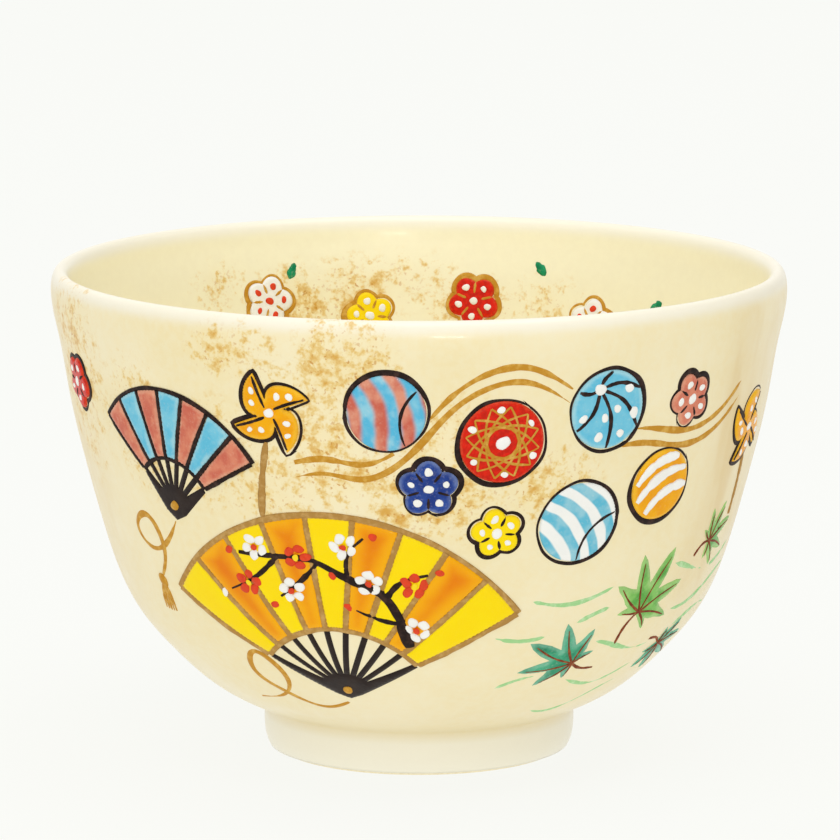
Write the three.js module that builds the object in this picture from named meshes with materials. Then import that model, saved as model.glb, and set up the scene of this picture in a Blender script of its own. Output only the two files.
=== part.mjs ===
// A footed tea bowl of cream-glazed stoneware with raised enamel decoration: a thrown wall, a turned foot ring,
// poured coats of glaze, and pads of enamel in the shapes of folding fans, toy balls, pinwheels, blossoms and
// maple leaves. Sizes are in millimetres and +Z is up. The origin is on the table, under the foot's centre.
// Angles go round the bowl in degrees, from the front, which faces -Y, towards +X.
import * as THREE from "three";
import { mergeVertices } from "three/addons/utils/BufferGeometryUtils.js";
import { TessellateModifier } from "three/addons/modifiers/TessellateModifier.js";

// The thrown form
const RIM_RADIUS = 60; // the widest ring, a little under the lip
const HEIGHT = 80;
const LIP_HEIGHT = 3; // from the widest ring up to the crest
const LIP_HALF = 1.55; // half the lip's thickness
const FLOOR_HEIGHT = 13.4; // the inside floor, where the tea well begins
const WELL_RADIUS = 18.5;
const WELL_DEPTH = 1.5;

// The turned foot
const FOOT_RADIUS = 25.5;
const SHOULDER_HEIGHT = 7.4; // where the foot's side meets the wall
const FOOT_CURVE_HEIGHT = 4.5; // the foot's side curves in below this height
const FOOT_CURVE_WIDTH = 1.7;
const GLAZE_START = 30; // degrees along that curve, from the table
const EDGE_OUTER = 23.4; // the bare clay edge that stands on the table
const EDGE_INNER = 21.9;
const SEAT_HEIGHT = 6.4; // the foot ring's top, luted to the underside of the bowl
const RECESS_RADIUS = 21.2;
const COVE_RADIUS = 1.6; // the rounded corner inside the foot
const NUB_RADIUS = 7; // the small swelling left in the middle of the recess
const NUB_DROP = 0.7;

const GLAZE = 0.5; // thickness of the fired glaze

// How finely the curves are cut
const ROUND_SEGMENTS = 44;
const FOOT_STEPS = 3;
const WALL_STEPS = 10;
const LIP_STEPS = 6;
const COVE_STEPS = 2;

// Enamel pads
const PAD_THICKNESS = 0.45;
const PAD_LIFT = 0.25; // the pads' flat facets clear the wall's facets by this much
const PAD_EDGE = 6.6; // the longest edge of a pad's facets
const PAD_ROUNDS = 10; // rounds of edge splitting, enough for the largest pad
const LINE_GAP = 0.55; // between neighbouring pads, where a gold line runs

const COLOURS = {
  clay: 0xcdb792,
  cream: 0xf3e6c4,
  yellow: 0xffdc00,
  orange: 0xf5a21c,
  red: 0xe02c18,
  sky: 0x7cc6dd,
  salmon: 0xd97a6a,
  navy: 0x2b4a9c,
  white: 0xf8f6f0,
  green: 0x86c455,
  teal: 0x48a583,
  lacquer: 0x2c211c,
};

const at = (radius, height) => new THREE.Vector2(radius, height);

// The outside of the wall, from the foot's shoulder up to the widest ring.
const OUTER_STATIONS = [
  at(FOOT_RADIUS, SHOULDER_HEIGHT),
  at(34.8, 12.3),
  at(46.2, 24.3),
  at(51.9, 38.5),
  at(57.1, 59.5),
  at(RIM_RADIUS, HEIGHT - LIP_HEIGHT),
];

// The inside of the wall, from the floor up to the lip. The wall thins from about 5.5 mm at the hip to 3 mm.
const INNER_STATIONS = [
  at(WELL_RADIUS, FLOOR_HEIGHT),
  at(31.0, 16.9),
  at(42.4, 27.6),
  at(48.9, 43.0),
  at(53.6, 60.8),
  at(RIM_RADIUS - 2 * LIP_HALF, HEIGHT - LIP_HEIGHT),
];

const radians = THREE.MathUtils.degToRad;

function ellipseArc(centre, halfWidth, halfHeight, from, to, steps) {
  return Array.from({ length: steps + 1 }, (_, i) => {
    const angle = radians(from + ((to - from) * i) / steps);
    return at(centre.x + halfWidth * Math.cos(angle), centre.y + halfHeight * Math.sin(angle));
  });
}

// The outline of the glazed surface, from the glaze's lower edge on the foot, over the lip, to the well's middle.
function glazedOutline() {
  const curveCentre = at(FOOT_RADIUS - FOOT_CURVE_WIDTH, FOOT_CURVE_HEIGHT);
  const foot = ellipseArc(curveCentre, FOOT_CURVE_WIDTH, FOOT_CURVE_HEIGHT, GLAZE_START - 90, 0, FOOT_STEPS);
  const wall = new THREE.SplineCurve(OUTER_STATIONS).getPoints(WALL_STEPS);
  const lip = ellipseArc(at(RIM_RADIUS - LIP_HALF, HEIGHT - LIP_HEIGHT), LIP_HALF, LIP_HEIGHT, 0, 180, LIP_STEPS);
  const inside = new THREE.SplineCurve(INNER_STATIONS).getPoints(WALL_STEPS).reverse();
  const well = [
    at(WELL_RADIUS - 1.2, FLOOR_HEIGHT - 0.45 * WELL_DEPTH),
    at(WELL_RADIUS - 3, FLOOR_HEIGHT - 0.85 * WELL_DEPTH),
    at(WELL_RADIUS / 2, FLOOR_HEIGHT - WELL_DEPTH),
    at(0, FLOOR_HEIGHT - WELL_DEPTH),
  ];
  const points = [...foot, at(FOOT_RADIUS, SEAT_HEIGHT), ...wall, ...lip.slice(1), ...inside.slice(1), ...well];
  return { points, shoulder: foot.length + 1, crest: foot.length + wall.length + LIP_STEPS / 2 };
}

// The clay's outline inside the foot, from the bare edge up the recess's side and along its roof to the middle.
function recessOutline() {
  const cove = ellipseArc(
    at(RECESS_RADIUS - COVE_RADIUS, SEAT_HEIGHT - COVE_RADIUS), COVE_RADIUS, COVE_RADIUS, 0, 90, COVE_STEPS);
  return {
    side: [at(EDGE_INNER - 0.15, 0.8), ...cove],
    roof: [at(NUB_RADIUS, SEAT_HEIGHT), at(NUB_RADIUS / 2, SEAT_HEIGHT - 0.6 * NUB_DROP), at(0, SEAT_HEIGHT - NUB_DROP)],
  };
}

// The same outline moved to the left of its direction by a distance, corners kept.
function moved(points, distance) {
  const last = points.length - 1;
  return points.map((point, i) => {
    const ahead = points[Math.min(i + 1, last)].clone().sub(points[Math.min(i, last - 1)]).normalize();
    const behind = points[Math.max(i, 1)].clone().sub(points[Math.max(i - 1, 0)]).normalize();
    const left = at(-ahead.y - behind.y, ahead.x + behind.x);
    const stretch = (2 * distance) / left.lengthSq();
    const onAxis = point.x === 0;
    return at(onAxis ? 0 : point.x + left.x * stretch, point.y + left.y * stretch);
  });
}

function finish(colour, roughness = 0.25) {
  return new THREE.MeshStandardMaterial({ color: COLOURS[colour], roughness, metalness: 0 });
}

// A mesh turned about +Z from an outline that runs anticlockwise, seen with the radius to the right.
function turned(name, outline, material) {
  const geometry = new THREE.LatheGeometry(outline, ROUND_SEGMENTS).rotateX(Math.PI / 2);
  const mesh = new THREE.Mesh(geometry, material);
  mesh.name = name;
  return mesh;
}

// The clay and the coats of glaze, each its own solid, seated face to face.
function thrownPieces() {
  const { points: glazed, shoulder, crest } = glazedOutline();
  const clay = moved(glazed, GLAZE);
  const { side, roof } = recessOutline();
  const recess = [...side, ...roof];
  const recessGlazed = moved(recess, GLAZE);
  const body = [...roof.slice().reverse(), side.at(-1), clay[shoulder - 1], ...clay.slice(shoulder)];
  const ring = [at(EDGE_INNER, 0), at(EDGE_OUTER, 0), ...clay.slice(0, shoulder), ...side.slice().reverse()];
  return [
    turned("bowl_wall_clay", body, finish("clay", 0.9)),
    turned("foot_ring_clay", [...ring, ring[0]], finish("clay", 0.9)),
    turned("outer_glaze", [...glazed.slice(0, crest + 1), ...clay.slice(0, crest + 1).reverse(), glazed[0]], finish("cream")),
    turned("inner_glaze", [...clay.slice(crest).reverse(), ...glazed.slice(crest)], finish("cream")),
    turned("foot_recess_glaze", [...recessGlazed.slice().reverse(), ...recess], finish("cream")),
  ];
}

// A wall that enamel lies on. side is 1 on the outside of the bowl and -1 on the inside.
class Wall {
  constructor(stations, side) {
    this.curve = new THREE.SplineCurve(stations);
    this.length = this.curve.getLength();
    this.side = side;
  }

  // The share of the meridian's length that lies below a height.
  shareBelow(height) {
    let low = 0;
    let high = 1;
    for (let i = 0; i < 30; i++) {
      const middle = (low + high) / 2;
      if (this.curve.getPointAt(middle).y < height) low = middle;
      else high = middle;
    }
    return low;
  }

  // A function that lays a flat drawing on the wall: x along the wall, y up its slope, lift off its surface.
  seat(angle, height) {
    const start = this.shareBelow(height) * this.length;
    return (x, y, lift) => {
      const share = THREE.MathUtils.clamp((start + y) / this.length, 0, 1);
      const point = this.curve.getPointAt(share);
      const slope = this.curve.getTangentAt(share);
      const turn = radians(angle) + (this.side * x) / point.x;
      const radius = point.x + this.side * slope.y * lift;
      const z = point.y - this.side * slope.x * lift;
      return new THREE.Vector3(radius * Math.sin(turn), -radius * Math.cos(turn), z);
    };
  }
}

// A pad of enamel with a flat outline, bent to lie on the wall.
function pad(name, outline, seat, colour) {
  const slab = new THREE.ExtrudeGeometry(new THREE.Shape(outline), { depth: PAD_THICKNESS, bevelEnabled: false });
  const fine = new TessellateModifier(PAD_EDGE, PAD_ROUNDS).modify(slab);
  const place = fine.getAttribute("position");
  for (let i = 0; i < place.count; i++) {
    const bent = seat(place.getX(i), place.getY(i), PAD_LIFT + place.getZ(i));
    place.setXYZ(i, bent.x, bent.y, bent.z);
  }
  const bare = new THREE.BufferGeometry().setAttribute("position", place);
  const geometry = mergeVertices(bare, 1e-4);
  geometry.computeVertexNormals();
  const mesh = new THREE.Mesh(geometry, finish(colour));
  mesh.name = name;
  return mesh;
}

const polar = (radius, degrees) => at(radius * Math.cos(radians(degrees)), radius * Math.sin(radians(degrees)));

// A closed outline whose radius follows a rule of the angle in degrees.
function roundOutline(count, radiusAt, start = 0) {
  return Array.from({ length: count }, (_, i) => polar(radiusAt((360 * i) / count), start + (360 * i) / count));
}

// A folding fan: a leaf of pleats between two radii about its pivot, and the sticks that carry it.
function fan(name, seat, { pleats, from, to, inner, outer, colours }) {
  const pleat = (to - from) / pleats;
  const leaf = Array.from({ length: pleats }, (_, i) => {
    const start = from + pleat * i;
    const trim = (radius) => THREE.MathUtils.radToDeg(LINE_GAP / 2 / radius);
    const outline = [
      polar(inner, start + pleat - trim(inner)),
      polar(inner, start + trim(inner)),
      polar(outer, start + trim(outer)),
      polar(outer, start + pleat - trim(outer)),
    ].reverse();
    return pad(`${name}_pleat_${i + 1}`, outline, seat, colours[i % colours.length]);
  });
  return [...leaf, pad(`${name}_sticks`, sticks(pleats, from, pleat, inner - LINE_GAP), seat, "lacquer")];
}

// Sticks that spread from a pivot, one under each fold of the leaf, as one comb.
function sticks(pleats, from, pleat, reach) {
  const halfStick = 0.5;
  const notch = halfStick / Math.sin(radians(pleat / 2));
  const tail = 2.4;
  const outline = [];
  for (let i = 0; i <= pleats; i++) {
    const centre = from + pleat * i;
    const spread = THREE.MathUtils.radToDeg(halfStick / reach);
    outline.push(polar(reach, centre - spread), polar(reach, centre + spread));
    if (i < pleats) outline.push(polar(notch, centre + pleat / 2));
  }
  const back = from + pleat * pleats;
  for (const share of [0.25, 0.5, 0.75]) outline.push(polar(tail, back + share * (360 - pleat * pleats)));
  return outline;
}

const ball = (radius) => roundOutline(16, () => radius);

// Five rounded petals.
const blossom = (radius, start) =>
  roundOutline(20, (degrees) => radius * (0.74 + 0.26 * Math.abs(Math.cos(radians(2.5 * degrees)))), start);

// Four blades, each swept back from its point to the hub.
function pinwheel(radius, start) {
  const sweep = [
    [0, 1],
    [0.2, 0.9],
    [0.48, 0.74],
    [0.78, 0.56],
    [0.97, 0.34],
  ];
  return [0, 1, 2, 3].flatMap((blade) =>
    sweep.map(([share, reach]) => polar(radius * reach, start + 90 * (blade + share))));
}

// Seven pointed lobes about the stalk's end, the longest opposite the stalk.
function mapleLeaf(radius, start) {
  const lobes = [
    [-128, 0.5],
    [-84, 0.78],
    [-42, 0.94],
    [0, 1.06],
    [42, 0.94],
    [84, 0.78],
    [128, 0.5],
  ];
  const outline = [];
  lobes.forEach(([bearing, reach], i) => {
    const widest = 0.62 * reach;
    outline.push(polar(radius * widest, start + bearing - 12), polar(radius * reach, start + bearing));
    outline.push(polar(radius * widest, start + bearing + 12));
    if (i < lobes.length - 1) {
      const notch = (bearing + lobes[i + 1][0]) / 2;
      outline.push(polar(radius * 0.4, start + notch));
    }
  });
  outline.push(polar(radius * 0.16, start + 180));
  return outline;
}

// The decoration: what lies where, as name, angle, height, outline and colour.
function motifs() {
  const outside = new Wall(OUTER_STATIONS, 1);
  const inside = new Wall(INNER_STATIONS, -1);
  const large = { pleats: 9, from: 30, to: 147, inner: 14.5, outer: 34, colours: ["yellow", "orange"] };
  const small = { pleats: 7, from: 28, to: 136, inner: 8.5, outer: 19.5, colours: ["salmon", "sky"] };
  const outer = [
    ["ball_striped", -5, 65.5, ball(6.1), "salmon"],
    ["ball_red", 13, 60.5, ball(6.9), "red"],
    ["ball_sky", 30.5, 64.5, ball(6.4), "sky"],
    ["ball_gold_stripe", 43.5, 51, ball(6.2), "yellow"],
    ["ball_pale_stripe", 27.5, 46.5, ball(6.7), "white"],
    ["ball_back", 179, 58, ball(6.6), "red"],
    ["blossom_navy", 1.5, 53.2, blossom(4.7, 18), "navy"],
    ["blossom_gold", 13, 45.5, blossom(4.3, 30), "yellow"],
    ["blossom_salmon", 47.5, 64.5, blossom(4.6, 40), "salmon"],
    ["blossom_red", -70, 64, blossom(4.6, 60), "red"],
    ["blossom_back", 162, 52, blossom(4.7, 10), "salmon"],
    ["pinwheel_front", -23.5, 64.5, pinwheel(7, 20), "orange"],
    ["pinwheel_side", 68, 57, pinwheel(6.6, 55), "orange"],
    ["leaf_green_large", 46, 30, mapleLeaf(10.5, 62), "green"],
    ["leaf_teal_large", 32, 22, mapleLeaf(9, 150), "teal"],
    ["leaf_teal_small", 60.5, 21.5, mapleLeaf(7.5, 330), "teal"],
    ["leaf_green_small", 64, 39, mapleLeaf(7, 20), "green"],
    ["leaf_green_back", 195, 51, mapleLeaf(8, 40), "green"],
    ["leaf_teal_back", 186, 42, mapleLeaf(7, 250), "teal"],
  ];
  const inner = [
    ["inner_blossom_white", 208, 66.5, blossom(4.4, 0), "white"],
    ["inner_blossom_gold", 189, 63, blossom(4.2, 30), "yellow"],
    ["inner_blossom_red", 170, 65.5, blossom(4.4, 50), "red"],
    ["inner_blossom_pale", 147, 63, blossom(4.2, 14), "white"],
  ];
  return [
    ...fan("large_fan", outside.seat(-16, 17.5), large),
    ...fan("small_fan", outside.seat(-45, 47), small),
    ...outer.map(([name, angle, height, outline, colour]) => pad(name, outline, outside.seat(angle, height), colour)),
    ...inner.map(([name, angle, height, outline, colour]) => pad(name, outline, inside.seat(angle, height), colour)),
  ];
}

const teaBowl = new THREE.Group();
teaBowl.add(...thrownPieces(), ...motifs());

export default teaBowl;
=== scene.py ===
import math

import bmesh
import bpy
import numpy as np
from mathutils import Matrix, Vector
from mathutils.geometry import delaunay_2d_cdt


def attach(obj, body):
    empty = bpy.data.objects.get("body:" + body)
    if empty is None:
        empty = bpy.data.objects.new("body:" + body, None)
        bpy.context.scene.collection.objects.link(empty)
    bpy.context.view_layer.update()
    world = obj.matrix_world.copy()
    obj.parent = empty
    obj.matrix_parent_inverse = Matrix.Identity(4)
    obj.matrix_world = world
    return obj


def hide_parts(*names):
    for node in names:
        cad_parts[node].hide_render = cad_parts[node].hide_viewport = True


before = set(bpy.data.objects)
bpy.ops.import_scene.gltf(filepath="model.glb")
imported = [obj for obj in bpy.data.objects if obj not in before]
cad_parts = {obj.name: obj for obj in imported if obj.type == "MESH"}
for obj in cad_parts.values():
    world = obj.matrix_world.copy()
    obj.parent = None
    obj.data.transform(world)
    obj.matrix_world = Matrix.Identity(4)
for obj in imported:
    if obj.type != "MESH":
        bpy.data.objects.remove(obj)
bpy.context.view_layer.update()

# Sizes are in metres, as the frame is. Flat drawings lie in X and Y, with their height off the glaze in Z.
MM = 0.001
SAME_PLACE = 1e-6
SAME_DIGITS = 7

# The photograph's view
CAMERA_DISTANCE = 1.0
CAMERA_RISE = math.radians(10.7)
DISTANCE_FROM = Vector((0, 0, 0.040))
AIM = Vector((0.00016, 0, 0.0542))
LENS_MM = 260.9
SENSOR_MM = 36.0

# The light and the floor
SKY_GLOW = 0.98
SIDE_GLOW = 0.54
SKY_SHIFT = 0.18
FLOOR_GLOW = 0.885
FLOOR_HALF = 3.0

# The thrown form
ROUND_SEGMENTS = 192
RING_SPACING = 0.5 * MM
HIDDEN_RING_SPACING = 2 * MM
CORNER_TURN = math.radians(60)
CORNER_SOFTNESS = 0.45 * MM
EDGE_SOFTNESS = 0.2 * MM
STRAIGHT_WITHIN = 0.006 * MM

# The marks in the glaze, with the light and shade painted into it
WALL_HALF = 1.5 * MM
FOOT_SHOULDER = 7.4 * MM
# How far the painted light on the foot, and the pooled glaze and painted shade at the hip and in the well,
# reach
MARK_SPREAD = 1.9 * MM
# The lip's band of thin glaze, which also carries a painted highlight
LIP_FADE = 2.1 * MM
# The heights over which the inside is painted lighter, as light falls into the bowl
INSIDE_LIGHT_HEIGHTS = (28 * MM, 58 * MM)
WELL_RADIUS = 18.5 * MM

# The enamel
PAD_THICKNESS = 0.42 * MM
LEAF_THICKNESS = 0.22 * MM
PAD_BEAD = 0.75 * MM
PAD_SEAT = 0.06 * MM
PAD_GRID = 0.62 * MM
INSET_RINGS = (0.1 * MM, 0.24 * MM, 0.45 * MM, 0.75 * MM)
OUTLINE_STEP = 0.4 * MM
SEAT_ROUNDS = 4

# A point of an inset ring stays where no edge is nearer than this share of its inset
CLEAR_SHARE = 0.93

# How an outline is filled: with the triangles inside it, and points nearer than this in millimetres as one
FILL_INSIDE = 1
FILL_TOLERANCE = 1e-7

# The fans
FAN_GAP = 0.55 * MM
HALF_STICK = 0.5 * MM
PIVOT_RADIUS = 2.4 * MM
RIVET_WIDTH = 1.8 * MM
RIVET_OFFSET = 0.3 * MM
SEAM_LIFT = 0.18 * MM
ARC_POINTS = 40
BLOSSOM_REACH = 1.45 * MM
BLOSSOM_PETAL = 1.75 * MM
HEART_LIFT = 0.3 * MM

# The stream, in millimetres and degrees
RIPPLE_HEIGHT = 1.9
RIPPLES_ROUND = 9.5
RIPPLE_SHIFT = 70
STREAM_RISE = 0.04
STREAM_MIDDLE = 45
STREAM_STEP = 4

# The brushwork
OUTLINE_WIDTH = 0.68 * MM
FINE_WIDTH = 0.5 * MM
GOLD_WIDTH = 1.2 * MM
STREAM_WIDTHS = (1.3 * MM, 0.6 * MM)
KNOT_WIDTH = 2.2 * MM
KNOT_LIFT = 0.05 * MM
TASSEL_LENGTH = 5.6 * MM
DAB_LENGTH = 2.9 * MM
DAB_WIDTH = 1.4 * MM
STROKE_STEP = 0.35 * MM
STROKE_SIDES = 8
STROKE_FLATNESS = 0.3
OUTLINE_GAP = (0.1 * MM, 0.52 * MM)
OVERRUN = 2.4 * MM
OVERRUN_DRIFT = 0.5 * MM
OVERRUN_ENDS = (0.25, 0.12)
CLEARANCE = 0.35 * MM
SHORTEST_STEPS = 8
BEHIND = -0.1 * MM
HAND_CYCLES = (1, 2, 3, 5, 8)
HAND_REACH = 1.9
STROKE_WAVER = (0.78, 1.25)
OUTLINE_WAVER = (0.8, 1.2)
DOT_WAVER = (0.85, 1.15)
OUTLINE_PRESS = 0.45
DOT_SEGMENTS = 14
DOT_RINGS = 7
DOT_FLATNESS = 0.28
DOT_STRETCH = (0.84, 1.2)
DOT_STRAY = 0.22 * MM
DOT_STRAY_SIZE = 1.1 * MM

scene = bpy.context.scene
rng = np.random.default_rng(11)


# Angles and polylines

def half_turn(angle):
    """The same angle between half a turn back and half a turn on."""
    return (angle + math.pi) % math.tau - math.pi


def stations_along(points):
    """The distance along a polyline at each of its points."""
    return np.concatenate([[0], np.cumsum(np.linalg.norm(np.diff(points, axis=0), axis=1))])


def resampled(points, step):
    """The same polyline with points at about equal steps."""
    along = stations_along(points)
    even = np.linspace(0, along[-1], max(2, math.ceil(along[-1] / step) + 1))
    return np.column_stack([np.interp(even, along, column) for column in points.T])


def smooth_run(points, step):
    """A natural cubic spline through the points, cut at about equal steps."""
    points = np.asarray(points, float)
    if len(points) < 3:
        return resampled(points, step)
    knots = stations_along(points)
    gaps = np.diff(knots)
    size = len(points)
    system = np.eye(size)
    target = np.zeros(points.shape)
    for i in range(1, size - 1):
        system[i, i - 1:i + 2] = gaps[i - 1], 2 * (gaps[i - 1] + gaps[i]), gaps[i]
        target[i] = 6 * ((points[i + 1] - points[i]) / gaps[i] - (points[i] - points[i - 1]) / gaps[i - 1])
    bend = np.linalg.solve(system, target)
    even = np.linspace(0, knots[-1], max(3, math.ceil(knots[-1] / step) + 1))
    span = np.clip(np.searchsorted(knots, even, side="right") - 1, 0, size - 2)
    gap = gaps[span][:, None]
    after = (even - knots[span])[:, None] / gap
    before = 1 - after
    bulge = (before ** 3 - before) * bend[span] + (after ** 3 - after) * bend[span + 1]
    return before * points[span] + after * points[span + 1] + bulge * gap ** 2 / 6


def softened(points, step, softness):
    """The polyline averaged over its neighbourhood, which rounds its corners. Its ends stay."""
    reach = min(round(3 * softness / step), len(points) - 2)
    weights = np.exp(-0.5 * (np.arange(-reach, reach + 1) * step / softness) ** 2)
    weights /= weights.sum()
    start = 2 * points[0] - points[reach:0:-1]
    end = 2 * points[-1] - points[-2:-reach - 2:-1]
    padded = np.vstack([start, points, end])
    return np.column_stack([np.convolve(column, weights, mode="valid") for column in padded.T])


def thinned(points):
    """An outline without the points that its straight runs don't need."""
    kept = [0]
    for k in range(1, len(points) - 1):
        chord = points[k + 1] - points[kept[-1]]
        away = points[kept[-1] + 1:k + 1] - points[kept[-1]]
        off = np.abs(away[:, 0] * chord[1] - away[:, 1] * chord[0]) / np.linalg.norm(chord)
        if off.max() > STRAIGHT_WITHIN:
            kept.append(k)
    return points[kept + [len(points) - 1]]


def smooth_outline(points, step, softness):
    """Smooth runs between an outline's corners, with the corners softened as glaze softens them."""
    heading = np.arctan2(*np.diff(points, axis=0).T[::-1])
    turn = np.abs(half_turn(np.diff(heading)))
    corners = [0, *(np.flatnonzero(turn > CORNER_TURN) + 1), len(points) - 1]
    runs = [smooth_run(points[a:b + 1], step) for a, b in zip(corners, corners[1:])]
    joined_runs = np.vstack([runs[0], *(run[1:] for run in runs[1:])])
    soft = softened(resampled(joined_runs, step), step, softness)
    return np.clip(soft, points.min(0), points.max(0))


def divided(outline, step):
    """A closed outline with points added along its edges, and its own corners kept."""
    cuts = []
    for start, end in zip(outline, np.roll(outline, -1, axis=0)):
        count = max(1, math.ceil(np.linalg.norm(end - start) / step))
        cuts.append(start + (end - start) * np.arange(count)[:, None] / count)
    return np.vstack(cuts)


def distance_inside(points, outline):
    """How far each point lies from the nearest edge of a closed outline."""
    edge = np.roll(outline, -1, axis=0) - outline
    offset = points[:, None] - outline
    share = np.clip((offset * edge).sum(2) / (edge ** 2).sum(1), 0, 1)
    return np.linalg.norm(offset - share[..., None] * edge, axis=2).min(1)


def is_inside(points, outline):
    """Whether each point lies inside a closed outline."""
    start, end = outline, np.roll(outline, -1, axis=0)
    x, y = points[:, :1], points[:, 1:]
    spans = (start[:, 1] > y) != (end[:, 1] > y)
    rise = np.where(end[:, 1] == start[:, 1], 1, end[:, 1] - start[:, 1])
    crossing = start[:, 0] + (y - start[:, 1]) * (end[:, 0] - start[:, 0]) / rise
    return (spans & (x < crossing)).sum(1) % 2 == 1


def outward(outline):
    """The outward direction at each point of a closed outline that runs anticlockwise."""
    ahead = np.roll(outline, -1, axis=0) - np.roll(outline, 1, axis=0)
    return np.stack([ahead[:, 1], -ahead[:, 0]], axis=1) / np.linalg.norm(ahead, axis=1)[:, None]


def polar(radius, degrees):
    """Points at a radius and a bearing, in degrees from the right."""
    turn = np.radians(degrees)
    return np.stack([radius * np.cos(turn), radius * np.sin(turn)], axis=-1)


def bowed(start, end, bow):
    """Three points from start to end, the middle one off to the left by a share of the line's length."""
    across = end - start
    return [start, (start + end) / 2 + bow * np.array([-across[1], across[0]]), end]


def wander(share, low, high):
    """A value that drifts between low and high along a stroke, differently each time, as a hand does."""
    waves = sum(np.sin(math.tau * (cycles * share + rng.random())) / math.sqrt(cycles)
                for cycles in HAND_CYCLES)
    return low + (high - low) * (0.5 + 0.5 * np.clip(waves / HAND_REACH, -1, 1))


# The frame's own outlines

def points_of(mesh):
    """A mesh's vertices as rows of X, Y and Z."""
    return np.array([v.co for v in mesh.vertices])


def turn_and_radius(points):
    """How far each point is turned about the bowl's axis, from the front towards +X, and its radius."""
    return np.arctan2(points[:, 0], -points[:, 1]), np.hypot(points[:, 0], points[:, 1])


def front_cut(node):
    """A turned CAD node's outline at the front, as (radius, height) in order round the cut."""
    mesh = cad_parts[node].data
    links = {}
    for face in mesh.polygons:
        corners = [mesh.vertices[i].co for i in face.vertices]
        cut = [(round(-p.y, SAME_DIGITS), round(p.z, SAME_DIGITS)) for p in corners
               if abs(p.x) < SAME_PLACE and p.y < SAME_PLACE]
        if len(cut) == 2 and cut[0] != cut[1]:
            links.setdefault(cut[0], set()).add(cut[1])
            links.setdefault(cut[1], set()).add(cut[0])
    ends = [point for point in links if len(links[point]) == 1]
    walked = [max(ends or links, key=lambda point: point[1])]
    ahead = min(links[walked[0]])
    while ahead:
        walked.append(ahead)
        ahead = next((point for point in links[ahead] if point not in walked), None)
    return np.abs(np.array(walked))


def coat_sides(node):
    """A coat of glaze's face and back, each an outline from its lower end up to the lip."""
    cut = front_cut(node)
    if cut[0, 0] < SAME_PLACE:
        top = int(np.argmax(cut[:, 1]))
        return cut[:top + 1], cut[:top:-1]
    low = int(np.argmin(cut[:, 1]))
    return np.vstack([cut[low:], cut[:1]]), cut[low - 1:0:-1]


def outline_mesh(name, outline):
    """An outline of radius and height as a line of edges in X and Z."""
    mesh = bpy.data.meshes.new(name)
    links = [(i, i + 1) for i in range(len(outline) - 1)]
    mesh.from_pydata([(radius, 0, height) for radius, height in outline], links, [])
    return mesh


class Wall:
    """A decorated face of the bowl, from its lower end up to the lip. side is 1 outside and -1 inside."""

    def __init__(self, name, outline, side):
        self.name = name
        self.side = side
        self.outline = outline
        self.along = stations_along(outline)
        self.guide = bpy.data.objects.new(name + "_wall", outline_mesh(name + "_wall", outline))

    def along_at(self, height):
        return float(np.interp(height, self.outline[:, 1], self.along))

    def radius_at(self, along):
        return np.interp(along, self.along, self.outline[:, 0])

    def flattened(self, node):
        """The turn round the bowl and the distance along the wall of each of a CAD node's vertices."""
        points = points_of(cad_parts[node].data)
        turn, radius = turn_and_radius(points)
        apart = np.hypot(radius[:, None] - self.outline[:, 0], points[:, 2:] - self.outline[:, 1])
        return turn, self.along[np.argmin(apart, axis=1)]


def seat_on(wall, node, outline):
    """The size, turn and distance along the wall that put a flat outline where the CAD node is."""
    turns, alongs = wall.flattened(node)
    low, high = outline.min(0), outline.max(0)
    size = np.ptp(alongs) / (high[1] - low[1])
    along = (alongs.min() + alongs.max() - size * (low[1] + high[1])) / 2
    middle = np.angle(np.exp(1j * turns).mean())
    turns = middle + half_turn(turns - middle)
    radius = wall.radius_at(alongs)
    turn = middle
    for _ in range(SEAT_ROUNDS):
        across = (turns - turn) * radius * wall.side
        turn += wall.side * (across.min() + across.max() - size * (low[0] + high[0])) / 2 / radius.mean()
    return size, turn, along


# Node trees

def plug(tree, node, inputs):
    """Sets a node's inputs, and links those whose value is a socket."""
    for key, value in inputs.items():
        if isinstance(value, bpy.types.NodeSocket):
            tree.links.new(value, node.inputs[key])
        else:
            node.inputs[key].default_value = value


def add(tree, kind, inputs=None, **settings):
    """A node with its settings made and its inputs plugged."""
    node = tree.nodes.new(kind)
    for key, value in settings.items():
        setattr(node, key, value)
    plug(tree, node, inputs or {})
    return node


def calc(tree, operation, *values):
    """The result of a Math node."""
    return add(tree, "ShaderNodeMath", dict(enumerate(values)), operation=operation).outputs[0]


def times(tree, one, other):
    return calc(tree, "MULTIPLY", one, other)


def parts(tree, vector):
    """The X, Y and Z of a vector."""
    return add(tree, "ShaderNodeSeparateXYZ", {0: vector}).outputs


def joined(tree, x, y, z):
    return add(tree, "ShaderNodeCombineXYZ", {0: x, 1: y, 2: z}).outputs[0]


def position(tree):
    return add(tree, "GeometryNodeInputPosition").outputs[0]


def placed(tree, geometry, place):
    return add(tree, "GeometryNodeSetPosition", {"Geometry": geometry, "Position": place}).outputs[0]


def round_axis(tree, radius, turn, height):
    """The place at a radius and a height, turned about the bowl's axis from the front towards +X."""
    right = times(tree, radius, calc(tree, "SINE", turn))
    forward = times(tree, radius, calc(tree, "COSINE", turn))
    return joined(tree, right, times(tree, forward, -1.0), height)


def named(tree, name):
    """A number stored on the geometry under a name."""
    kind = "GeometryNodeInputNamedAttribute"
    return add(tree, kind, {"Name": name}, data_type="FLOAT").outputs["Attribute"]


def random_between(tree, low, high, seed):
    """A number for each point, drawn from a fixed seed."""
    inputs = {2: low, 3: high, "Seed": seed}
    return add(tree, "FunctionNodeRandomValue", inputs, data_type="FLOAT").outputs[1]


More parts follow.
